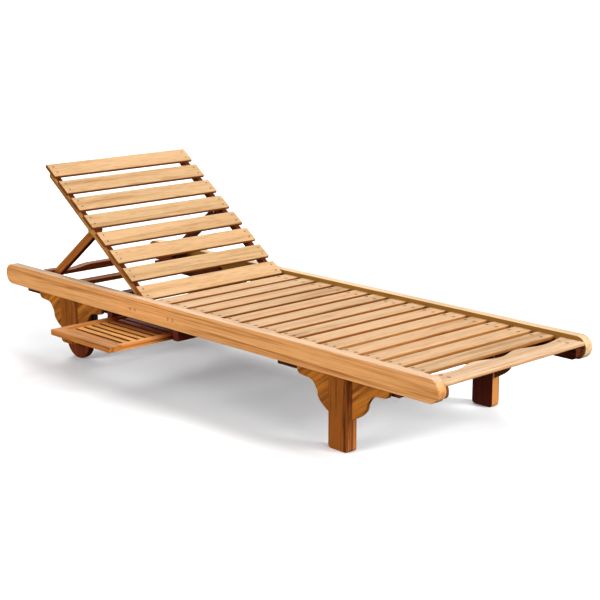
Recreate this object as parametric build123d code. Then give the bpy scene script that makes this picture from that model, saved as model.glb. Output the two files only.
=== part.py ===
import math
import os

from build123d import *

os.makedirs("parts", exist_ok=True)

# Side rails: overall length and width of the lounger
rail_length = 2000.0
frame_width = 655.0
rail_top = 279.0
rail_height = 69.0
rail_thick = 31.5
rail_edge = 3.0

# Seat: slats on ledgers, a little below the rail tops
seat_drop = 13.0
seat_thick = 12.0
seat_count = 14
seat_pitch = 82.2
seat_width = 62.0
seat_start = -241.2
slat_edge = 4.0
slat_end_gap = 0.5
foot_slat_gap = 19.6
foot_slat_width = 59.0
scallop_depth = 13.0
scallop_chord = 110.0
scallop_pitch = 197.0
ledger_thick = 26.0
ledger_height = 40.0
ledger_end_r = 15.5
ledger_foot_lap = 17.0
ledger_head_gap = 2.0

# Back: hinged frame of slats, drawn at the angle it rests at
back_angle = 35.46
back_max = 60.0
hinge_x = -277.3
hinge_depth = 26.0
hinge_pin_r = 5.0
hinge_eye_r = 13.0
hinge_pin_bite = 20.0
back_count = 8
back_pitch = 83.2
back_width = 60.3
back_thick = 12.0
back_edge = 3.0
back_end_gap = 3.8
back_foot_lap = 8.8
stile_thick = 19.0
stile_depth = 22.0
stile_head_gap = 22.9
block_thick = 11.8
block_gap = 1.2
block_width = 26.0

# Prop: two arms and a bar that stand under the back, on notched racks
prop_reach = 339.0
prop_drop = 3.0
prop_length = 316.0
bar_drop = 14.0
prop_ratio = 2.05
prop_pin_r = 4.0
arm_lean = 2.4
stile_boss_r = 11.0
arm_width = 28.0
arm_thick = 20.0
arm_gap = 2.0
bar_depth = 32.0
bar_height = 22.0
bar_arch = 9.0
bar_dip = 52.0
bar_rise = 86.0
tenon_r = 11.0
tenon_end_gap = 4.0
rack_thick = 11.5
rack_gap = 1.0
rack_clear = 1.0
rack_head_lap = 25.0
rack_foot_lap = 37.0
notch_pitch = 55.0
notch_depth = 9.0
notch_lead = 14.0

# Running clearance on every pin that something turns on
running_gap = 0.05

# Legs, brackets and cleats
front_leg_x = 634.0
rear_leg_x = -645.0
leg_width = 78.0
leg_thick = 31.5
leg_inset = 6.5
leg_corner = 11.0
rear_leg_bottom = 57.0
bracket_set_back = 12.0
bracket_thick = 12.0
scroll_nose = [(139.0, 12.0), (135.0, 22.0), (124.0, 28.0)]
scroll_waist = [(102.0, 30.0), (76.0, 36.5), (61.0, 54.5), (56.0, 72.0)]
scroll_knee = [(56.0, 72.0), (49.0, 84.0), (21.0, 106.0), (0.0, 118.0)]
cleat_thick = 24.5
cleat_depth = 28.0
cleat_head = 280.0
cleat_foot = 210.0
cleat_chamfer = 16.0

# Wheels on short axles between each rear leg and its hanger
wheel_r = 66.0
wheel_width = 24.0
wheel_set_back = 1.0
wheel_gap = 7.0
tread_r = 4.0
hub_r = 18.0
hub_gap = 0.5
axle_r = 5.0
axle_bite = 21.5
hanger_gap = 13.6
hanger_thick = 19.0
axle_rail_width = 40.0
axle_rail_height = 11.0

# Cross rails
rear_cross_x = -755.0
rear_cross_width = 40.0
rear_cross_top = 234.0
rear_cross_thick = 14.0
seat_cross_width = 38.0
middle_cross_x = -88.0

# Pull-out tray and its runners
tray_head = -393.0
tray_foot = -89.0
tray_top = 194.0
tray_thick = 17.0
tray_reach = 557.0
tray_travel = 232.0
tray_depth = 380.0
tray_front_width = 45.0
tray_side_width = 20.0
tray_back_width = 30.0
tray_slat_count = 10
tray_slat_width = 20.0
tray_slat_thick = 10.0
tray_slat_drop = 6.0
tray_side_gap = 3.0
runner_width = 25.0
runner_height = 35.0
tongue_height = 5.0
tongue_reach = 10.0
tongue_tip_gap = 1.0
tongue_gap = 0.5
tongue_stop_gap = 2.0

# Planes and heights that several pieces share
half_width = frame_width / 2
inner = half_width - rail_thick
rail_bottom = rail_top - rail_height
seat_top = rail_top - seat_drop
seat_bottom = seat_top - seat_thick
ledger_bottom = seat_bottom - ledger_height
foot_slat_head = seat_start + (seat_count - 1) * seat_pitch + seat_width + foot_slat_gap
foot_slat_foot = foot_slat_head + foot_slat_width
ledger_foot = foot_slat_foot + ledger_foot_lap
slat_half = inner - slat_end_gap
back_half = inner - back_end_gap
stile_length = (back_count - 1) * back_pitch + back_width - back_foot_lap - stile_head_gap
hinge_z = rail_top - hinge_depth
leg_outer = half_width - leg_inset
leg_inner = leg_outer - leg_thick
cleat_inner = leg_inner - cleat_thick
cleat_bottom = ledger_bottom - cleat_depth
rack_inner = inner - rack_thick
stile_outer = inner - block_thick - block_gap
stile_inner = stile_outer - stile_thick
arm_outer = stile_inner - arm_gap
arm_inner = arm_outer - arm_thick
wheel_x = rear_leg_x - wheel_set_back
wheel_outer = leg_inner - wheel_gap
hanger_outer = wheel_outer - wheel_width - hanger_gap
hanger_inner = hanger_outer - hanger_thick
tray_bottom = tray_top - tray_thick
tongue_start = tray_reach - tray_front_width - tray_travel - tongue_stop_gap
centre_y = (tray_reach - half_width) / 2


def prism(sketch, y0, y1):
    """A side view drawn in X and Z, carried across from y0 to y1."""
    plane = Plane(origin=(0, y1, 0), x_dir=(1, 0, 0), z_dir=(0, -1, 0))
    return extrude(plane * sketch, amount=y1 - y0)


def block(x0, x1, y0, y1, z0, z1):
    """A plain board between the given limits."""
    middle = ((x0 + x1) / 2, (y0 + y1) / 2, (z0 + z1) / 2)
    return Pos(*middle) * Box(x1 - x0, y1 - y0, z1 - z0)


def eased(x0, x1, z0, z1, y0, y1, edge):
    """A board lying across the lounger, with its long edges rounded."""
    section = Pos((x0 + x1) / 2, (z0 + z1) / 2) * RectangleRounded(x1 - x0, z1 - z0, edge)
    return prism(section, y0, y1)


def rod(x, z, r, y0, y1):
    """A round piece lying across the lounger."""
    return prism(Pos(x, z) * Circle(r), y0, y1)


def other_side(shape):
    """The same piece on the right-hand side."""
    return mirror(shape, about=Plane.XZ)


def save(name, *solids):
    """One node, moved so that the lounger is centred with its tray out."""
    placed = [Pos(0, centre_y, 0) * s for s in solids]
    node = placed[0] if len(placed) == 1 else Compound(children=placed)
    export_step(node, f"parts/{name}.step")


def save_pair(name, left):
    """A left-hand piece and its mirror image, as two nodes."""
    save(f"{name}_left", left)
    save(f"{name}_right", other_side(left))


# Side rails, with a blind hole for each hinge pin
rail = prism(Pos(0, rail_top - rail_height / 2) * SlotOverall(rail_length, rail_height), inner, half_width)
rail = fillet(rail.faces().sort_by(Axis.Y)[0].edges() + rail.faces().sort_by(Axis.Y)[-1].edges(), rail_edge)
rail -= rod(hinge_x, hinge_z, hinge_pin_r, inner, inner + hinge_pin_bite)
save_pair("side_rail", rail)

# Ledgers under the seat slats, round at the foot
ledger_side = Rectangle(ledger_foot - seat_start - ledger_head_gap, ledger_height)
ledger_side = fillet(ledger_side.vertices().group_by(Axis.X)[-1], ledger_end_r)
ledger_middle = (ledger_foot + seat_start + ledger_head_gap) / 2
ledger = prism(Pos(ledger_middle, seat_bottom - ledger_height / 2) * ledger_side, inner - ledger_thick, inner)
save_pair("slat_ledger", ledger)

# Seat slats
for k in range(seat_count):
    x0 = seat_start + k * seat_pitch
    slat = eased(x0, x0 + seat_width, seat_bottom, seat_top, -slat_half, slat_half, slat_edge)
    save(f"seat_slat_{k + 1:02d}", slat)

# Foot slat, its head-side edge cut in three shallow scallops
outline = [Line((foot_slat_head, slat_half), (foot_slat_foot, slat_half))]
outline.append(Line((foot_slat_foot, slat_half), (foot_slat_foot, -slat_half)))
outline.append(Line((foot_slat_foot, -slat_half), (foot_slat_head, -slat_half)))
edge_from = -slat_half
for k in (-1, 0, 1):
    low = k * scallop_pitch - scallop_chord / 2
    high = low + scallop_chord
    outline.append(Line((foot_slat_head, edge_from), (foot_slat_head, low)))
    dip = (foot_slat_head + scallop_depth, k * scallop_pitch)
    outline.append(Spline((foot_slat_head, low), dip, (foot_slat_head, high), tangents=[(0, 1), (0, 1)]))
    edge_from = high
outline.append(Line((foot_slat_head, edge_from), (foot_slat_head, slat_half)))
foot_slat = extrude(Pos(0, 0, seat_bottom) * make_face(Wire(outline).edges()), amount=seat_thick)
foot_edges = foot_slat.edges().filter_by(Axis.Y).group_by(Axis.X)[-1]
save("foot_slat", fillet(foot_edges, slat_edge))

# Back slats and stiles, drawn flat about the hinge axis and then raised
raise_back = Pos(hinge_x, 0, hinge_z) * Rot(0, back_angle, 0)
slat_low = hinge_depth - back_thick
for k in range(back_count):
    x1 = back_foot_lap - (back_count - 1 - k) * back_pitch
    slat = eased(x1 - back_width, x1, slat_low, hinge_depth, -back_half, back_half, back_edge)
    save(f"back_slat_{k + 1:02d}", raise_back * slat)

stile_side = Pos(-stile_length / 2, slat_low - stile_depth / 2) * Rectangle(stile_length, stile_depth)
stile_side = fillet(stile_side.vertices().group_by(Axis.X)[0], stile_depth / 3)
stile_side += Circle(hinge_eye_r)
stile_side += Pos(-prop_reach, -prop_drop) * Circle(stile_boss_r)
stile_side -= Circle(hinge_pin_r + running_gap)
stile_side -= Pos(-prop_reach, -prop_drop) * Circle(prop_pin_r)
stile = prism(stile_side, stile_inner, stile_outer)
save("back_stile_left", raise_back * stile)
save("back_stile_right", raise_back * other_side(stile))

# Hinge blocks on the rails, and the pins through block and stile
block_side = Pos(hinge_x, (hinge_z + ledger_bottom) / 2) * Rectangle(block_width, hinge_z - ledger_bottom)
block_side += Pos(hinge_x, hinge_z) * Circle(block_width / 2)
block_side -= Pos(hinge_x, hinge_z) * Circle(hinge_pin_r)
hinge_block = prism(block_side, inner - block_thick, inner)
save("hinge_blocks", hinge_block, other_side(hinge_block))
hinge_pin = rod(hinge_x, hinge_z, hinge_pin_r, stile_inner, inner + hinge_pin_bite)
save("hinge_pins", hinge_pin, other_side(hinge_pin))

# Prop pivot and bar centre as the back stands at rest
turn = math.radians(back_angle)
pivot_x = hinge_x - prop_reach * math.cos(turn) - prop_drop * math.sin(turn)
pivot_z = hinge_z + prop_reach * math.sin(turn) - prop_drop * math.cos(turn)
bar_z = rail_top - bar_drop
prop_angle = math.degrees(math.asin((pivot_z - bar_z) / prop_length))
bar_x = pivot_x - prop_length * math.cos(math.radians(prop_angle))

# Prop arms, from the eye on the stile down to the bar's foot side
arm_length = prop_length + arm_width
arm_side = Pos(-arm_length / 2, 0) * Rectangle(arm_length, arm_width) + Circle(arm_width / 2)
arm_side -= Circle(prop_pin_r + running_gap)
set_prop = Pos(pivot_x, 0, pivot_z) * Rot(0, -prop_angle - arm_lean, 0)
arm = set_prop * prism(arm_side, arm_inner, arm_outer)
bar_foot_side = bar_x + bar_depth / 2
arm -= block(bar_foot_side - arm_length, bar_foot_side, -inner, inner, 0, pivot_z)
save("prop_arm_left", arm)
save("prop_arm_right", other_side(arm))
prop_pin = rod(pivot_x, pivot_z, prop_pin_r, arm_inner, stile_outer)
save("prop_pins", prop_pin, other_side(prop_pin))

# Prop bar: arched between the arms, with round tenons over the racks
bar_half = rack_inner - rack_gap
bar_top = bar_z + bar_height / 2
bar_low = bar_z - bar_height / 2
dip = bar_top - bar_arch
dip_y = arm_inner - bar_arch
rise_y = arm_inner - bar_dip
crest_y = rise_y - bar_rise
bar_ends = [(-rise_y, dip), (-dip_y, dip), (-arm_inner, bar_top), (-bar_half, bar_top)]
bar_ends += [(-bar_half, bar_low), (bar_half, bar_low), (bar_half, bar_top)]
bar_ends += [(arm_inner, bar_top), (dip_y, dip), (rise_y, dip)]
bar_rim = Polyline(*bar_ends).edges()
bar_rim += Spline((rise_y, dip), (crest_y, bar_top), tangents=[(-1, 0), (-1, 0)]).edges()
bar_rim += Line((crest_y, bar_top), (-crest_y, bar_top)).edges()
bar_rim += Spline((-crest_y, bar_top), (-rise_y, dip), tangents=[(-1, 0), (-1, 0)]).edges()
bar_plane = Plane(origin=(bar_x - bar_depth / 2, 0, 0), x_dir=(0, 1, 0), z_dir=(1, 0, 0))
bar = extrude(bar_plane * make_face(bar_rim), amount=bar_depth)
tenon_end = inner - tenon_end_gap
for side in (-1, 1):
    low, high = sorted((side * bar_half, side * tenon_end))
    bar += rod(bar_x, bar_z, tenon_r, low, high)
save("prop_bar", bar)

# Path of the bar from flat to upright: the racks' tooth tips follow it
path = []
for degrees in range(0, int(back_max) + 1):
    lift = math.radians(degrees)
    lean = math.radians((degrees - back_angle) * (prop_ratio - 1) + prop_angle)
    x = hinge_x - prop_reach * math.cos(lift) - prop_drop * math.sin(lift) - prop_length * math.cos(lean)
    z = hinge_z + prop_reach * math.sin(lift) - prop_drop * math.cos(lift) - prop_length * math.sin(lean)
    path.append((x, z))


def tip_z(x):
    """Height of a tooth tip at x, just under the bar's tenon."""
    near = [z for px, z in path if abs(px - x) < tenon_r + notch_lead]
    return min(near, default=path[0][1]) - tenon_r - rack_clear


# Racks: saw teeth with their upright faces towards the head
rack_head = path[0][0] - rack_head_lap
rack_foot = path[-1][0] + rack_foot_lap
teeth =[(rack_head, ledger_bottom), (rack_head, tip_z(rack_head))]
first = math.ceil((rack_head + notch_lead - bar_x) / notch_pitch)
last = math.floor((rack_foot - notch_pitch - bar_x) / notch_pitch)
for k in range(first, last + 1):
    x = bar_x + k * notch_pitch - notch_lead
    teeth.append((x, tip_z(x)))
    teeth.append((x + 1, tip_z(x) - notch_depth))
x = bar_x + (last + 1) * notch_pitch - notch_lead
teeth.append((x, tip_z(x)))
teeth.append((rack_foot, ledger_bottom + notch_depth))
teeth.append((rack_foot, ledger_bottom))
rack = prism(make_face(Polyline(*teeth, close=True).edges()), rack_inner, inner)
save_pair("prop_rack", rack)

# Cross rails between racks and ledgers
cross_low, cross_high = rear_cross_x - rear_cross_width / 2, rear_cross_x + rear_cross_width / 2
rear_cross_low = rear_cross_top - rear_cross_thick
save("rear_cross_rail", block(cross_low, cross_high, -rack_inner, rack_inner, rear_cross_low, rear_cross_top))
cross_half = inner - ledger_thick
for name, x in (("middle_cross_rail", middle_cross_x), ("front_cross_rail", front_leg_x)):
    low, high = x - seat_cross_width / 2, x + seat_cross_width / 2
    save(name, block(low, high, -cross_half, cross_half, ledger_bottom, seat_bottom))

# Legs under the rails; the rear ones stop short and carry the axles
def leg(x, bottom):
    side = Pos(x, (bottom + rail_bottom) / 2) * Rectangle(leg_width, rail_bottom - bottom)
    side = fillet(side.vertices().group_by(Axis.Y)[0], leg_corner)
    return prism(side, leg_inner, leg_outer)


save_pair("front_leg", leg(front_leg_x, 0))
axle_hole = rod(wheel_x, wheel_r, axle_r, leg_inner, leg_inner + axle_bite)
save_pair("rear_leg", leg(rear_leg_x, rear_leg_bottom) - axle_hole)

# Scroll brackets fore and aft of each leg, drawn from the leg's centre line
edge = leg_width / 2
top = rail_bottom
nose, waist, knee = [
    [(edge + out, top - down) for out, down in part] for part in (scroll_nose, scroll_waist, scroll_knee)
]
scroll = [Line((edge, top), (nose[0][0], top)), Line((nose[0][0], top), nose[0])]
scroll.append(ThreePointArc(*nose))
scroll.append(Line(nose[-1], waist[0]))
scroll.append(Spline(*waist, tangents=[(-1, 0), (0, -1)]))
scroll.append(Spline(*knee))
scroll.append(Line(knee[-1], (edge, top)))
scroll_face = make_face(Wire(scroll).edges())
bracket_outer = leg_outer - bracket_set_back
bracket_fore = prism(scroll_face, bracket_outer - bracket_thick, bracket_outer)
bracket_aft = mirror(bracket_fore, about=Plane.YZ)
for name, x in (("front_brackets", front_leg_x), ("rear_brackets", rear_leg_x)):
    pair = [Pos(x, 0, 0) * bracket_fore, Pos(x, 0, 0) * bracket_aft]
    save(f"{name}_left", *pair)
    save(f"{name}_right", *[other_side(b) for b in pair])

# Cleats that tie the legs to the ledgers and racks
cleat_side = Pos((cleat_foot - cleat_head) / 2, cleat_bottom + cleat_depth / 2)
cleat_side *= Rectangle(cleat_foot + cleat_head, cleat_depth)
corner = cleat_side.vertices().group_by(Axis.Y)[0].sort_by(Axis.X)[-1]
cleat = prism(chamfer(corner, cleat_chamfer), cleat_inner, leg_inner)
cleats = [Pos(x, 0, 0) * cleat for x in (front_leg_x, rear_leg_x)]
save("leg_cleats", *cleats, *[other_side(c) for c in cleats])

# Axle rail, and the hangers that carry the inner ends of the axles
low, high = rear_leg_x - axle_rail_width / 2, rear_leg_x + axle_rail_width / 2
rail_low = cleat_bottom
save("axle_rail", block(low, high, -cleat_inner, cleat_inner, rail_low, rail_low + axle_rail_height))
hanger_side = Rectangle(leg_width, rail_low - rear_leg_bottom)
hanger_side = Pos(rear_leg_x, (rear_leg_bottom + rail_low) / 2) * hanger_side
hanger_side = fillet(hanger_side.vertices().group_by(Axis.Y)[0], leg_corner)
hanger = prism(hanger_side, hanger_inner, hanger_outer)
hanger -= rod(wheel_x, wheel_r, axle_r, hanger_inner, hanger_outer)
save("wheel_hangers", hanger, other_side(hanger))

# Wheels with rounded treads, each on its own axle
wheel = rod(wheel_x, wheel_r, wheel_r, wheel_outer - wheel_width, wheel_outer)
wheel = fillet(wheel.edges().filter_by(GeomType.CIRCLE), tread_r)
wheel += rod(wheel_x, wheel_r, hub_r, hanger_outer + hub_gap, leg_inner - hub_gap)
wheel -= rod(wheel_x, wheel_r, axle_r + running_gap, hanger_outer, leg_inner)
save_pair("wheel", wheel)
axle = rod(wheel_x, wheel_r, axle_r, hanger_inner, leg_inner + axle_bite)
save("axles", axle, other_side(axle))

# Tray: boards around thin slats, with a groove along each side
front = -tray_reach
front_in = front + tray_front_width
back = front + tray_depth
back_in = back - tray_back_width
side_in = tray_head + tray_side_width
side_out = tray_foot - tray_side_width
tongue_low = (tray_top + tray_bottom - tongue_height) / 2
tongue_high = tongue_low + tongue_height
groove = tongue_reach - tray_side_gap + tongue_tip_gap
save("tray_front_board", block(tray_head, tray_foot, front, front_in, tray_bottom, tray_top))
sides = []
for x0, x1, cut in ((tray_head, side_in, tray_head), (side_out, tray_foot, tray_foot - groove)):
    board = block(x0, x1, front_in, back, tray_bottom, tray_top)
    board -= block(cut, cut + groove, front_in, back, tongue_low - tongue_gap, tongue_high + tongue_gap)
    sides.append(board)
save("tray_side_boards", *sides)
save("tray_back_board", block(side_in, side_out, back_in, back, tray_bottom, tray_top))
tray_slats = []
tray_pitch = (back_in - front_in) / tray_slat_count
slat_top = tray_top - tray_slat_drop
for k in range(tray_slat_count):
    y0 = front_in + (k + 0.5) * tray_pitch - tray_slat_width / 2
    slat = block(side_in, side_out, y0, y0 + tray_slat_width, slat_top - tray_slat_thick, slat_top)
    tray_slats.append(slat)
save("tray_slats", *tray_slats)

# Runners across the frame under both rails, tongued towards the tray
runners = []
for face, way in ((tray_head - tray_side_gap, 1), (tray_foot + tray_side_gap, -1)):
    x0, x1 = sorted((face, face - way * runner_width))
    runner = block(x0, x1, -leg_outer, leg_outer, rail_bottom - runner_height, rail_bottom)
    x0, x1 = sorted((face - way, face + way * tongue_reach))
    runner += block(x0, x1, -tongue_start, tongue_start, tongue_low, tongue_high)
    runners.append(runner)
save("tray_runners", *runners)
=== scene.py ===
import math

import bpy
from mathutils import Matrix, Vector


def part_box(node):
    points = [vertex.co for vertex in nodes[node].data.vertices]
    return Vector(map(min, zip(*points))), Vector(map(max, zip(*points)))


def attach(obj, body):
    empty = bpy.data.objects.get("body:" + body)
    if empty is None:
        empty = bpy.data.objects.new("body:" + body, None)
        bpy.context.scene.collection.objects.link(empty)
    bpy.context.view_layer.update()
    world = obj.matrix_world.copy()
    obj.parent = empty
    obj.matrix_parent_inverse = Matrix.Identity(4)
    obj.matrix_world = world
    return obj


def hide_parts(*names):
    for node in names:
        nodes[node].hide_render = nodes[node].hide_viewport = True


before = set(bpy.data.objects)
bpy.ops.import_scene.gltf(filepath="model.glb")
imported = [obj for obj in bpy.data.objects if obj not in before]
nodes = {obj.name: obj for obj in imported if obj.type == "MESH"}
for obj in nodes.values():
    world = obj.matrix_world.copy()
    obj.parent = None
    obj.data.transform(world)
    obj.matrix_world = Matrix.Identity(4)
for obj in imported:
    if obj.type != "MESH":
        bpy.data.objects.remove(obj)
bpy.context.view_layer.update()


# Side rails: two long boards of oiled teak on edge, rounded over at both ends.
# The grain runs from head to foot, with dark streaks where the saw cut through the
# growth rings. Tops stay pale and the faces are darkened to honey brown as painted shade.
class Shade:
    """One output in a node tree, so that maths on it reads as sums."""

    def __init__(self, tree, out):
        self.tree = tree
        self.out = out

    def feed(self, socket):
        """Links this output to a socket."""
        self.tree.links.new(self.out, socket)

    def other(self, name):
        """Another output of the same node."""
        return Shade(self.tree, self.out.node.outputs[name])

    def add(self, kind, settings=None, give=0, **values):
        """One output of a new node, with its settings and its sockets' values or links."""
        node = self.tree.nodes.new(kind)
        for key, value in (settings or {}).items():
            if key == "stops":
                ramp = node.color_ramp
                while len(ramp.elements) < len(value):
                    ramp.elements.new(0.5)
                for stop, (place, colour) in zip(ramp.elements, value):
                    stop.position = place
                    stop.color = (*colour, 1)
            else:
                setattr(node, key, value)
        for key, value in values.items():
            enabled = [s for s in node.inputs if s.enabled]
            named = [s for s in enabled if s.name.replace(" ", "_") == key]
            socket = named[0] if named else enabled[int(key[1:])]
            if isinstance(value, Shade):
                value.feed(socket)
            else:
                socket.default_value = value
        return Shade(self.tree, node.outputs[give])

    def maths(self, how, a, b):
        """The result of one Math node."""
        return self.add("ShaderNodeMath", {"operation": how}, i0=a, i1=b)

    def __add__(self, other):
        return self.maths("ADD", self, other)

    def __radd__(self, other):
        return self.maths("ADD", other, self)

    def __sub__(self, other):
        return self.maths("SUBTRACT", self, other)

    def __rsub__(self, other):
        return self.maths("SUBTRACT", other, self)

    def __mul__(self, other):
        return self.maths("MULTIPLY", self, other)

    def __rmul__(self, other):
        return self.maths("MULTIPLY", other, self)

    def __truediv__(self, other):
        return self.maths("DIVIDE", self, other)

    def __rtruediv__(self, other):
        return self.maths("DIVIDE", other, self)

    def tint(self, colour, how="MULTIPLY", factor=1.0):
        """This colour blended with another."""
        if isinstance(colour, tuple):
            colour = (*colour, 1)
        settings = {"data_type": "RGBA", "blend_type": how}
        return self.add("ShaderNodeMix", settings, give=2, Factor=factor, A=self, B=colour)

    def span(self, low, high, to_low=0.0, to_high=1.0):
        """This value stretched from one range to another."""
        ends = {"From_Min": low, "From_Max": high, "To_Min": to_low, "To_Max": to_high}
        return self.add("ShaderNodeMapRange", Value=self, **ends)


def finish(name, gloss):
    """A new material, its shader's inputs and a spot on the piece to draw patterns from."""
    material = bpy.data.materials.new(name)
    material.use_nodes = True
    tree = material.node_tree
    inputs = tree.nodes["Principled BSDF"].inputs
    inputs["Specular IOR Level"].default_value = gloss
    spot = Shade(tree, tree.nodes.new("ShaderNodeTexCoord").outputs["Object"])
    return material, inputs, spot


def teak(
    name, tones, seed, turn=(0, 0, 0), pitch=0.0, start=0.0, rough=0.5, side=(1, 1, 1),
    lit_face=(0, 0, 1), both=False, under=None, bold=0.5, figure=1.0, stretch=1.0, rail_shadow=None,
):
    """Oiled teak in a pale, a honey and a streak tone, its grain along X once turned.

    A pitch gives each board of a row its own look. Faces turned away from the lit face take
    the side's tint, or the under tint when they are opposite to it: these tints paint shade,
    and paint light where they are above one. A rail's painted shadow tints the wood, more and
    more between two places across the part.
    """
    pale, honey, streak = tones
    material, inputs, spot = finish(name, gloss=0.08)
    turned = spot.add("ShaderNodeMapping", {"vector_type": "TEXTURE"}, Vector=spot, Rotation=turn)
    split = turned.add("ShaderNodeSeparateXYZ", Vector=turned)
    x, y, z = split.other("X") * stretch, split.other("Y"), split.other("Z")
    board = seed
    if pitch:
        row = (y - start) / pitch
        board = row.add("ShaderNodeMath", {"operation": "FLOOR"}, i0=row) + seed
    luck = spot.add("ShaderNodeTexWhiteNoise", {"noise_dimensions": "1D"}, W=board)
    shift = luck * 7.3 + seed

    def fibres(lengthwise, crosswise, sway_y=0.0, sway_z=0.0, **noise):
        """Noise drawn out along the grain, with its sway across it."""
        sides = {"Y": y * crosswise + sway_y, "Z": z * crosswise + sway_z}
        at = x.add("ShaderNodeCombineXYZ", X=x * lengthwise + shift, **sides)
        return at.add("ShaderNodeTexNoise", Vector=at, Scale=1.0, **noise)

    # From broad to fine: slow changes of tone, growth rings, dark veins and open pores
    drift = fibres(1.1, 15, 0.0, shift, Detail=4.0, Roughness=0.55, Distortion=0.7)
    ring_sway = drift * 3 + shift
    grain = fibres(2.0, 62, drift * 4, ring_sway, Detail=5.0, Roughness=0.62, Distortion=0.35)
    vein = fibres(1.6, 75, drift * 9, drift * 9, Detail=3.0, Roughness=0.5, Distortion=0.5)
    pore = fibres(22, 700, Detail=2.0, Roughness=0.5)

    # The average of drift and grain gives the honey tone, and each board's luck moves it
    tone = (drift * 0.62 + grain * 0.55 - 0.585) * figure + (luck - 0.5) * 0.14 + 0.5
    stops = [(0.34, streak), (0.48, honey), (0.64, pale)]
    colour = tone.add("ShaderNodeValToRGB", {"stops": stops}, Fac=tone)
    rosy = colour.tint((1.02, 0.91, 0.83))
    colour = colour.tint(rosy, "MIX", (drift * 1.6 + luck - 0.9).span(0.0, 0.7))
    colour = colour.tint(streak, "MIX", vein.span(0.55, 0.66, 0.0, bold))
    colour = colour.tint(pore.span(0.34, 0.5, 0.72, 1.0))
    # Painted shadow of a rail: a darker tint that grows across the part towards the rail
    if rail_shadow:
        begin, end, shadow_tint = rail_shadow
        aside = spot.add("ShaderNodeSeparateXYZ", give="Y", Vector=spot)
        colour = colour.tint(colour.tint(shadow_tint), "MIX", aside.span(begin, end))

    # Lift is 1 on the lit face, 0 on faces square to it and -1 on the opposite one.
    # The tints below paint shade on the faces turned away from the lit face.
    facing = spot.other("Normal")
    dot = {"operation": "DOT_PRODUCT"}
    lift = facing.add("ShaderNodeVectorMath", dot, give="Value", i0=facing, i1=lit_face)
    if both:
        lift = lift.add("ShaderNodeMath", {"operation": "ABSOLUTE"}, i0=lift)
    # Side tint: painted shade, and painted light where it is above one. Under tint: painted shade.
    side_light_and_shade = colour.tint(side)
    if under:
        side_light_and_shade = side_light_and_shade.tint(colour.tint(under), "MIX", lift.span(-0.95, -0.75, 1.0, 0.0))
    side_light_and_shade.tint(colour, "MIX", lift.span(0.3, 0.85)).feed(inputs["Base Color"])
    (rough + 0.2 * (0.5 - grain)).feed(inputs["Roughness"])
    relief = grain * 0.4 + vein * 0.25 + pore * 0.35
    bump = relief.add("ShaderNodeBump", Height=relief, Strength=0.2, Distance=0.0006)
    bump.feed(inputs["Normal"])
    return material


def dress(material, *names):
    """Gives carried-over nodes their finish."""
    for name in names:
        mesh = nodes[name].data
        mesh.materials.clear()
        mesh.materials.append(material)


# The near rail's side tint darkens all faces but its top as painted shade.
rail_tones = (0.52, 0.38, 0.26), (0.465, 0.32, 0.19), (0.26, 0.115, 0.038)
rail_look = {"side": (1.13, 0.84, 0.5), "bold": 0.55, "figure": 1.3, "stretch": 0.45}
dress(teak("rail teak", rail_tones, seed=3.1, **rail_look), "side_rail_right")
# The far rail's side tint lightens its top as painted light, and its under tint darkens its inner face
# as painted shade.
far_rail_tones = (0.58, 0.33, 0.135), (0.52, 0.275, 0.1), (0.29, 0.1, 0.02)
far_rail_look = {"side": (1.0, 1.37, 2.2), "lit_face": (0, 1, 0), "under": (0.34, 0.29, 0.11)}
far_rail_teak = teak("far rail teak", far_rail_tones, seed=18.6, **far_rail_look, bold=0.6, stretch=0.45)
dress(far_rail_teak, "side_rail_left")

# Rail plugs: pairs of dark end-grain plugs over the bolts of the hinge blocks and
# of the middle cross rail. They stand a hair proud of the rails' outer faces.
pins = bpy.data.node_groups.new("heads in rows", "GeometryNodeTree")
kinds = {"Rows": "Int", "Pitch": "Float", "Pair": "Float", "Ends": "Int", "Span": "Float"}
kinds |= {"Radius": "Float", "Height": "Float", "Recess": "Float", "Finish": "Material"}
sockets = {}
for label, kind in kinds.items():
    socket = pins.interface.new_socket(label, in_out="INPUT", socket_type="NodeSocket" + kind)
    sockets[label] = socket.identifier
pins.interface.new_socket("Geometry", in_out="OUTPUT", socket_type="NodeSocketGeometry")
given = {out.name: Shade(pins, out) for out in pins.nodes.new("NodeGroupInput").outputs}


def along(axis, count, gap, before=0.5):
    """Points at equal gaps along an axis, the first by that share of a gap before the origin."""
    offset = gap.add("ShaderNodeCombineXYZ", **{axis: gap})
    begin = gap.add("ShaderNodeCombineXYZ", **{axis: gap * -before})
    return gap.add("GeometryNodeMeshLine", Count=count, Start_Location=begin, Offset=offset)


def copies(points, shape):
    """A copy of the shape at each point, made real."""
    spread = points.add("GeometryNodeInstanceOnPoints", Points=points, Instance=shape)
    return spread.add("GeometryNodeRealizeInstances", Geometry=spread)


grid = copies(along("X", given["Rows"], given["Pitch"], before=0.0), along("X", 2, given["Pair"]))
grid = copies(grid, along("Y", given["Ends"], given["Span"]))
head = grid.add("GeometryNodeMeshCylinder", Vertices=14, Radius=given["Radius"], Depth=given["Height"])
rim = head.add("GeometryNodeExtrudeMesh", Mesh=head, Selection=head.other("Top"), Offset_Scale=0.0)
inset = rim.other("Top")
dish = rim.add("GeometryNodeScaleElements", Geometry=rim, Selection=inset, Scale=0.6)
sink = given["Recess"] * -1.0
dish = dish.add("GeometryNodeExtrudeMesh", Mesh=dish, Selection=inset, Offset_Scale=sink)
heads = copies(grid, dish)
heads = heads.add("GeometryNodeSetMaterial", Geometry=heads, Material=given["Finish"])
heads.feed(pins.nodes.new("NodeGroupOutput").inputs[0])


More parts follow.
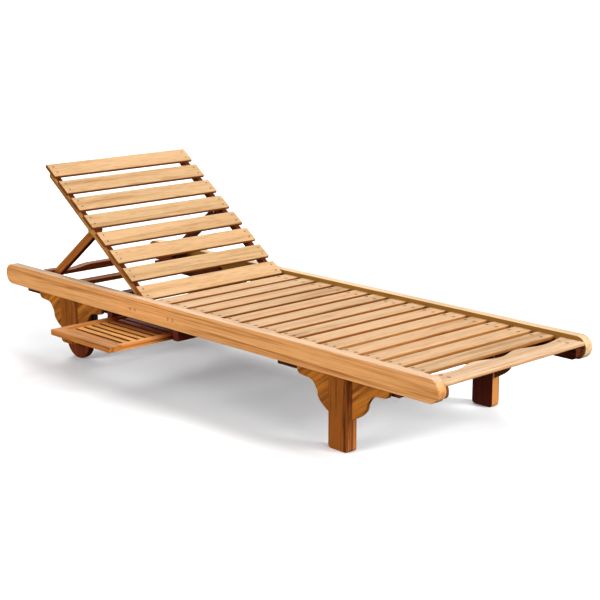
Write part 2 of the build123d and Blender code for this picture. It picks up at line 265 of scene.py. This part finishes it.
def fix(name, body, slot, place, proud, **sizes):
    """Rows of heads made by the tree, standing proud of a surface and riding on their body."""
    piece = bpy.data.objects.new(name, bpy.data.meshes.new(name))
    bpy.context.collection.objects.link(piece)
    rows = piece.modifiers.new("rows", "NODES")
    rows.node_group = pins
    for label, value in sizes.items():
        rows[sockets[label]] = value
    seen = piece.evaluated_get(bpy.context.evaluated_depsgraph_get())
    made = bpy.data.meshes.new_from_object(seen)
    piece.modifiers.remove(rows)
    piece.data = made
    made.transform(place @ Matrix.Translation((0, 0, proud - sizes["Height"] / 2)))
    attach(piece, body)


rail_faces = {"left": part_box("side_rail_left")[1][1], "right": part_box("side_rail_right")[0][1]}
centre_y = sum(rail_faces.values()) / 2
end_grain = (math.radians(90), 0, 0)
plug_tones = (0.16, 0.06, 0.015), (0.1, 0.035, 0.009), (0.05, 0.016, 0.005)
plug_teak = teak("plug teak", plug_tones, seed=21.3, turn=end_grain)
plug_x, plug_z, plug_proud = -0.278, 0.24, 0.0001
plugs = {"Rows": 2, "Pitch": 0.189, "Pair": 0.024, "Ends": 1, "Span": 0.0}
plugs |= {"Radius": 0.0042, "Height": 0.004, "Recess": 0.0004, "Finish": plug_teak}
for side, turn in (("left", -90), ("right", 90)):
    outward = Matrix.Rotation(math.radians(turn), 4, "X")
    place = Matrix.Translation((plug_x, rail_faces[side], plug_z)) @ outward
    fix(f"rail_plugs_{side}", "frame", "teak_dark", place, plug_proud, **plugs)

# Ledgers: teak battens screwed along the rails' inner faces, which carry the seat.
# They stay in the shade, and their dark red-brown is partly the unbleached wood and
# partly painted shade.
deep_red_and_shade_tones = (0.11, 0.022, 0.007), (0.075, 0.013, 0.005), (0.035, 0.006, 0.003)
dress(teak("ledger teak", deep_red_and_shade_tones, seed=10.7, rough=0.6), "slat_ledger_left")
# The near ledger keeps a lighter brown on its ends, and its other faces are darkened as painted shade.
near_ledger_tones = (0.33, 0.13, 0.06), (0.27, 0.095, 0.04), (0.13, 0.04, 0.015)
near_ledger_look = {"rough": 0.6, "side": (0.35, 0.2, 0.15), "lit_face": (1, 0, 0), "both": True}
near_ledger_teak = teak("near ledger teak", near_ledger_tones, seed=19.5, **near_ledger_look)
dress(near_ledger_teak, "slat_ledger_right")

# Seat slats: thin planed teak boards screwed across the ledgers. Each comes from
# another plank, so that their tones differ. Their edges are darkened as painted shade,
# most at the head, where the back shades them, and least at the foot.
across = (0, 0, math.radians(90))
seat_low, seat_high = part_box("seat_slat_01")
seat_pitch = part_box("seat_slat_02")[0][0] - seat_low[0]
seat_gap = seat_pitch - (seat_high[0] - seat_low[0])
seat_rows = {"pitch": seat_pitch, "start": seat_gap / 2 - seat_low[0]}
seat_tones = (0.485, 0.337, 0.195), (0.44, 0.28, 0.143), (0.3, 0.15, 0.055)
# Painted shade on the undersides of all slats
underside_shade = (0.62, 0.44, 0.27)
slat_look = {"turn": across, "under": underside_shade, "bold": 0.4}
# Edge tints of painted shade, from dark at the head to light at the foot
seat_parts = [
    ("head", range(1, 6), (0.33, 0.15, 0.035)),
    ("middle", range(6, 10), (0.42, 0.215, 0.07)),
    ("foot", range(10, 15), (0.64, 0.43, 0.22)),
]
for part, slats, edge_shade in seat_parts:
    seat_teak = teak(f"seat teak {part}", seat_tones, seed=1.7, side=edge_shade, **seat_rows, **slat_look)
    dress(seat_teak, *[f"seat_slat_{k:02d}" for k in slats])

# Foot slat: a wider teak board, level with the rails' round ends and screwed onto
# the ledgers. Three shallow scallops are sawn into its head edge, to lift it by.
foot_low, foot_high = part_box("foot_slat")
foot_setback, foot_width, foot_edge = 0.002, 0.084, 0.003
foot_head = foot_low[0] + foot_setback
foot_end = foot_head + foot_width
foot_half = (foot_high[1] - foot_low[1]) / 2
scallop_depth, scallop_pitch = 0.02, 0.185
outline = bpy.data.curves.new("foot slat outline", "CURVE")
outline.dimensions = "2D"
outline.fill_mode = "BOTH"
outline.bevel_depth = foot_edge
outline.bevel_resolution = 2
outline.offset = -foot_edge
outline.extrude = (foot_high[2] - foot_low[2]) / 2 - foot_edge
wave = [(foot_head + scallop_depth * (k % 2), (k - 3) * scallop_pitch / 2) for k in range(1, 6)]
corners = [(foot_head, foot_half), (foot_end, foot_half)]
corners += [(foot_end, -foot_half), (foot_head, -foot_half)]
path = outline.splines.new("BEZIER")
path.use_cyclic_u = True
path.resolution_u = 10
path.bezier_points.add(len(wave + corners) - 1)
for point, (x, y) in zip(path.bezier_points, wave + corners):
    point.co = (x, y, 0)
    point.handle_left_type = point.handle_right_type = "AUTO" if (x, y) in wave else "VECTOR"
drawn = bpy.data.objects.new("foot slat outline", outline)
bpy.context.collection.objects.link(drawn)
board = bpy.data.meshes.new_from_object(drawn.evaluated_get(bpy.context.evaluated_depsgraph_get()))
bpy.data.objects.remove(drawn)
board.transform(Matrix.Translation((0, centre_y, (foot_low[2] + foot_high[2]) / 2)))
# The foot slat's edges are darkened a little as painted shade, and its underside as the slats' are.
foot_tones = (0.56, 0.405, 0.265), (0.52, 0.35, 0.215), (0.4, 0.23, 0.11)
board.materials.append(teak("foot slat teak", foot_tones, seed=20.9, side=(1.0, 0.9, 0.75), **slat_look))
foot_slat = bpy.data.objects.new("foot_slat_board", board)
bpy.context.collection.objects.link(foot_slat)
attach(foot_slat, "frame")
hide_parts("foot_slat")


# Slat screws: steel, two at each end of every slat, countersunk into the ledgers
# and stiles. Weather has turned their heads nearly black.
def metal(name, dull, bright, rough, wear, scale, pure=1.0, gloss=0.5):
    """Metal mottled from dull to bright, and rougher by its wear where it is bright."""
    material, inputs, spot = finish(name, gloss)
    inputs["Metallic"].default_value = pure
    mottle = spot.add("ShaderNodeTexNoise", Vector=spot, Scale=scale, Detail=3.0)
    tone = mottle.add("ShaderNodeValToRGB", {"stops": [(0.3, dull), (0.7, bright)]}, Fac=mottle)
    tone.feed(inputs["Base Color"])
    (rough + wear * mottle).feed(inputs["Roughness"])
    return material


tarnished = {"dull": (0.008, 0.004, 0.002), "bright": (0.03, 0.014, 0.007), "pure": 0.2, "gloss": 0.1}
screw_metal = metal("weathered screw", **tarnished, rough=0.55, wear=0.3, scale=900.0)
screw_size = {"Radius": 0.005, "Height": 0.003, "Recess": 0.0008, "Finish": screw_metal}
screw_proud = 0.0003
seat_screws = {"Rows": 14, "Pitch": seat_pitch, "Pair": 0.035, "Ends": 2, "Span": 0.501, **screw_size}
seat_place = Matrix.Translation(((seat_low[0] + seat_high[0]) / 2, centre_y, seat_high[2]))
fix("seat_screws", "frame", "steel", seat_place, screw_proud, **seat_screws)
foot_screws = {**seat_screws, "Rows": 1, "Pair": 0.028}
foot_place = Matrix.Translation(((foot_head + foot_end) / 2, centre_y, foot_high[2]))
fix("foot_slat_screws", "frame", "steel", foot_place, screw_proud, **foot_screws)


# Back: narrower teak slats screwed to two stiles, hinged between the rails and
# leaning back. The stiles are brown. The slats' edges and undersides, and all but the
# stiles' outer faces, are darkened as painted shade.
def ease(width, *names):
    """Takes the sharpness off the arrises of carried-over boards."""
    for name in names:
        weld = nodes[name].modifiers.new("joined", "WELD")
        weld.merge_threshold = 0.00001
        bevel = nodes[name].modifiers.new("eased", "BEVEL")
        bevel.width = width
        bevel.segments = 2
        bevel.limit_method = "ANGLE"
        bevel.angle_limit = math.radians(50)


top_slat, next_slat = (sum(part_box(f"back_slat_{k:02d}"), Vector()) / 2 for k in (1, 2))
down = next_slat - top_slat
lean = math.atan2(-down.z, down.x)
back_face = (math.sin(lean), 0, math.cos(lean))
row_edge = -0.022  # counted on by the pitch, the edges of the rows fall between the slats
back_rows = {"pitch": down.x, "start": row_edge}
back_tones = (0.43, 0.3, 0.168), (0.385, 0.25, 0.125), (0.26, 0.13, 0.046)
# The back slats' edges are darkened as painted shade.
back_look = {"side": (0.37, 0.175, 0.05), "lit_face": back_face, **back_rows, **slat_look}
back_teak = teak("back teak", back_tones, seed=5.9, **back_look)
dress(back_teak, *[f"back_slat_{k:02d}" for k in range(1, 9)])
stile_tones = (0.52, 0.28, 0.075), (0.42, 0.2, 0.046), (0.2, 0.07, 0.016)
for side, outward in (("left", 1), ("right", -1)):
    # All but each stile's outer face are darkened as painted shade.
    stile_look = {"turn": (0, lean, 0), "side": (0.2, 0.08, 0.06), "lit_face": (0, outward, 0)}
    stile_teak = teak(f"stile teak {side}", stile_tones, seed=8.2 + outward, **stile_look)
    dress(stile_teak, f"back_stile_{side}")
ease(0.0015, "back_stile_left", "back_stile_right")
back_thick = 0.012
back_place = Matrix.Translation(top_slat) @ Matrix.Rotation(lean, 4, "Y")
back_place = back_place @ Matrix.Translation((0, 0, back_thick / 2))
back_screws = {"Rows": 8, "Pitch": down.length, "Pair": 0.028, "Ends": 2, "Span": 0.547, **screw_size}
back_screws["Radius"] = 0.003
fix("back_screws", "backrest", "steel", back_place, screw_proud, **back_screws)

# Prop: two teak arms, pinned to the stiles, and an arched bar between them over the
# notched racks. The back shades them, so their red-brown is partly painted shade, and
# all but the arms' outer faces and the bar's top are darkened further as painted shade.
arm_turn = (0, math.radians(-37.6), 0)
arm_tones = (0.27, 0.094, 0.015), (0.2, 0.06, 0.0085), (0.08, 0.02, 0.003)
for side, outward in (("left", 1), ("right", -1)):
    # All but the arm's outer face are darkened as painted shade.
    arm_look = {"turn": arm_turn, "side": (0.4, 0.22, 0.16), "lit_face": (0, outward, 0), "figure": 1.4}
    dress(teak(f"prop teak {side}", arm_tones, seed=2.4 + outward, **arm_look), f"prop_arm_{side}")
bar_tones = (0.32, 0.112, 0.018), (0.235, 0.07, 0.01), (0.09, 0.022, 0.003)
# All but the bar's top are darkened as painted shade.
bar_teak = teak("bar teak", bar_tones, seed=6.6, turn=across, side=(0.5, 0.32, 0.25))
dress(bar_teak, "prop_bar")
ease(0.0015, "prop_arm_left", "prop_arm_right", "prop_bar")

# Under-frame: racks, cross rails, runners, cleats and hinge blocks, all of teak
# that is sawn but not sanded, fixed to the rails and legs. Their deep red-brown is
# partly the unbleached wood and partly painted shade, and the rear cross rail is as
# light as the prop's bar.
under_teak = teak("under teak", deep_red_and_shade_tones, seed=4.4, rough=0.62)
dress(under_teak, "prop_rack_left", "prop_rack_right", "leg_cleats", "hinge_blocks")
cross_teak = teak("cross teak", deep_red_and_shade_tones, seed=9.3, turn=across, rough=0.62)
dress(cross_teak, "middle_cross_rail", "front_cross_rail", "axle_rail", "tray_runners")
dress(bar_teak, "rear_cross_rail")
ease(0.001, "rear_cross_rail", "leg_cleats", "tray_runners")

# Legs and scroll brackets: darker teak boards, with upright grain in the legs and
# slanting grain in the scrolls, which are sawn to shape and screwed on.
upright = (0, math.radians(90), 0)
leg_tones = (0.52, 0.205, 0.057), (0.37, 0.13, 0.03), (0.15, 0.042, 0.009)
# The legs keep full colour on their head and foot faces, and the other faces, the near one among them,
# are darkened as painted shade.
leg_look = {"side": (0.4, 0.32, 0.13), "lit_face": (1, 0, 0), "both": True, "bold": 0.7, "figure": 2.2}
leg_teak = teak("leg teak", leg_tones, seed=7.5, turn=upright, **leg_look)
dress(leg_teak, "front_leg_right", "rear_leg_left", "rear_leg_right")
far_leg_tones = (0.44, 0.2, 0.06), (0.37, 0.155, 0.042), (0.2, 0.068, 0.016)
# The far leg's faces turned from the foot and the far side, its inner face among them, are darkened
# nearly to black as painted shade.
far_leg_look = {"side": (0.16, 0.05, 0.05), "lit_face": (1, 1, 0), "figure": 1.5}
dress(teak("far leg teak", far_leg_tones, seed=17.2, turn=upright, **far_leg_look), "front_leg_left")
ease(0.0015, "front_leg_left", "front_leg_right", "rear_leg_left", "rear_leg_right")
slanting = (0, math.radians(-35), 0)
scroll_tones = (0.42, 0.155, 0.02), (0.31, 0.1, 0.01), (0.14, 0.04, 0.005)
scroll_teak = teak("scroll teak", scroll_tones, seed=11.8, turn=slanting, bold=0.6, figure=1.5)
dress(scroll_teak, "front_brackets_right", "rear_brackets_left", "rear_brackets_right")
far_scroll_tones = (0.46, 0.18, 0.021), (0.35, 0.12, 0.011), (0.17, 0.05, 0.006)
# The far scroll's faces other than its far face, its inner face among them, are darkened as painted
# shade.
far_scroll_look = {"side": (0.28, 0.2, 0.4), "lit_face": (0, 1, 0), "figure": 1.5}
far_scroll_teak = teak("far scroll teak", far_scroll_tones, seed=22.7, turn=slanting, **far_scroll_look)
dress(far_scroll_teak, "front_brackets_left")

# Wheels: turned from solid teak, dark red-brown, on plain steel axles between the
# rear legs and the hangers. The pins of the hinge and the prop are turned brass.
wheel_tones = (0.13, 0.024, 0.005), (0.09, 0.014, 0.003), (0.045, 0.007, 0.002)
dress(teak("wheel teak", wheel_tones, seed=12.6, turn=upright), "wheel_left", "wheel_right")
# The hangers are painted near black, as painted shade inside the forks of the rear legs.
hanger_shade_tones = (0.06, 0.02, 0.01), (0.04, 0.013, 0.007), (0.02, 0.006, 0.003)
dress(teak("hanger teak in painted shade", hanger_shade_tones, seed=14.1, turn=upright, rough=0.6), "wheel_hangers")
steel = {"dull": (0.392, 0.392, 0.385), "bright": (0.56, 0.56, 0.55), "rough": 0.3}
dress(metal("axle steel", **steel, wear=0.2, scale=400.0), "axles")
brass = {"dull": (0.434, 0.308, 0.14), "bright": (0.62, 0.44, 0.2), "rough": 0.32}
dress(metal("pin brass", **brass, wear=0.2, scale=500.0), "hinge_pins", "prop_pins")

# Tray: a frame of teak boards around thin slats set a little lower, grooved along
# its sides to slide on the runners' tongues. Next to the rail a darker red is painted
# as the rail's shadow, and the edges of its boards and slats are darkened as painted shade.
tray_tones = (0.46, 0.21, 0.055), (0.36, 0.146, 0.033), (0.17, 0.056, 0.011)
# How far out from the rail's face its painted shadow reaches
rail_shadow_reach = 0.075
tray_rail_shadow = (rail_faces["right"] - rail_shadow_reach, rail_faces["right"], (0.28, 0.1, 0.06))
tray_look = {"side": (1.0, 0.9, 0.8), "rail_shadow": tray_rail_shadow}
tray_teak = teak("tray teak", tray_tones, seed=13.9, bold=0.6, **tray_look)
dress(tray_teak, "tray_front_board", "tray_back_board")
tray_side_teak = teak("tray side teak", tray_tones, seed=16.4, turn=across, **tray_look)
dress(tray_side_teak, "tray_side_boards")
tray_slat_tones = (0.6, 0.32, 0.085), (0.5, 0.235, 0.052), (0.25, 0.09, 0.018)
tray_slat_look = {"pitch": 0.0305, "side": (0.35, 0.2, 0.12), "rail_shadow": tray_rail_shadow}
dress(teak("tray slat teak", tray_slat_tones, seed=15.2, **tray_slat_look), "tray_slats")
ease(0.0012, "tray_front_board", "tray_back_board", "tray_slats")

# Studio: a wide pale floor under a soft sky, a key light beyond each end, and low
# broad fills from the near side and from the foot.
reach = 70.0
floor_corners = [(-reach, -reach, 0), (reach, -reach, 0), (reach, reach, 0), (-reach, reach, 0)]
floor_mesh = bpy.data.meshes.new("floor")
floor_mesh.from_pydata(floor_corners, [], [(0, 1, 2, 3)])
floor = bpy.data.objects.new("floor", floor_mesh)
bpy.context.collection.objects.link(floor)
paper, paper_inputs, _ = finish("pale floor", gloss=0.1)
paper_inputs["Base Color"].default_value = (0.86, 0.86, 0.86, 1)
paper_inputs["Roughness"].default_value = 0.9
floor_mesh.materials.append(paper)
floor.visible_diffuse = False
floor.visible_glossy = False

world = bpy.data.worlds.new("studio")
bpy.context.scene.world = world
world.use_nodes = True
sky = world.node_tree
up = Shade(sky, sky.nodes.new("ShaderNodeTexCoord").outputs["Generated"])
height = up.add("ShaderNodeSeparateXYZ", give="Z", Vector=up)
levels = [(0.0, 0.02), (0.487, 0.05), (0.489, 1.05), (0.525, 1.05), (0.57, 0.28), (1.0, 0.55)]
sky_stops = [(place, (level, level, level * 1.01)) for place, level in levels]
glow = height.add("ShaderNodeValToRGB", {"stops": sky_stops}, Fac=height * 0.5 + 0.5)
glow.feed(sky.nodes["Background"].inputs["Color"])
sky.nodes["Background"].inputs["Strength"].default_value = 1.0


def sunlight(name, energy, spread, travel):
    """A soft distant light that travels in the given direction."""
    light = bpy.data.objects.new(name, bpy.data.lights.new(name, "SUN"))
    light.data.energy = energy
    light.data.angle = math.radians(spread)
    light.rotation_euler = Vector(travel).to_track_quat("-Z", "Y").to_euler()
    bpy.context.collection.objects.link(light)


sunlight("foot key", energy=4.2, spread=25, travel=(-1.6, -0.65, -1.0))
sunlight("head key", energy=1.8, spread=30, travel=(0.9, -0.65, -1.0))
sunlight("near fill", energy=3.6, spread=35, travel=(0.1, 0.92, -0.2))
sunlight("foot fill", energy=1.7, spread=30, travel=(-1.0, 0.15, -0.3))

# Camera: the photograph's view, from the foot end's near side and a little above,
# through a long lens. Colours go to the picture as they are.
camera = bpy.data.objects.new("camera", bpy.data.cameras.new("camera"))
camera.data.lens = 90.35
camera.data.sensor_width = 36
camera.data.clip_end = 200
camera.location = (3.4218, -2.98225, 1.353)
view = Vector((-0.7077, 0.6681, -0.2296))
camera.rotation_euler = view.to_track_quat("-Z", "Y").to_euler()
bpy.context.collection.objects.link(camera)
bpy.context.scene.camera = camera
bpy.context.scene.view_settings.view_transform = "Standard"
